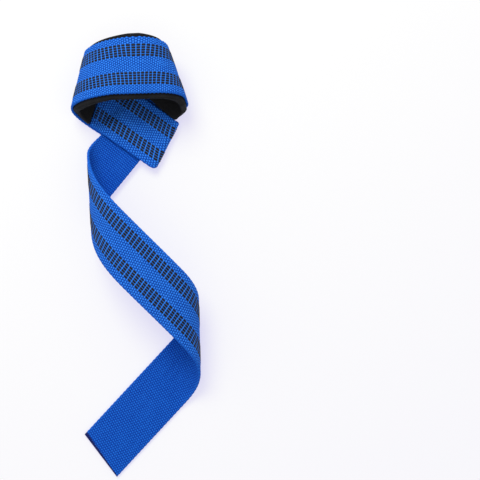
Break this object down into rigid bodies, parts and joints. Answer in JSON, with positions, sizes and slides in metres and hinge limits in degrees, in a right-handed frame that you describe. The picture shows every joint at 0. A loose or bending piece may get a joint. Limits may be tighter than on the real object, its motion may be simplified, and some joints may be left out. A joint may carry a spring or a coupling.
{
  "type": "lifting strap",
  "caption": "Woven lifting strap with dashed grip bands, a padded wrist loop drawn through a sewn eye, and a free tail that curls on the table.",
  "frame": {"origin": "on the table under the middle of the strap's box", "axes": "+Z up from the table, +Y from the tail's cut end towards the wrist loop, +X to the right seen from above with +Y up"},
  "size_m": [0.0924, 0.3134, 0.0409],
  "materials": {
    "webbing": "coarse blue cotton weave with raised black rubber yarns in two dashed bands",
    "pad": "matt black foam lining with a fine knit face"
  },
  "bodies": {
    "root": {"webbing_strap": "webbing", "wrist_pad": "pad"}
  },
  "joints": []
}
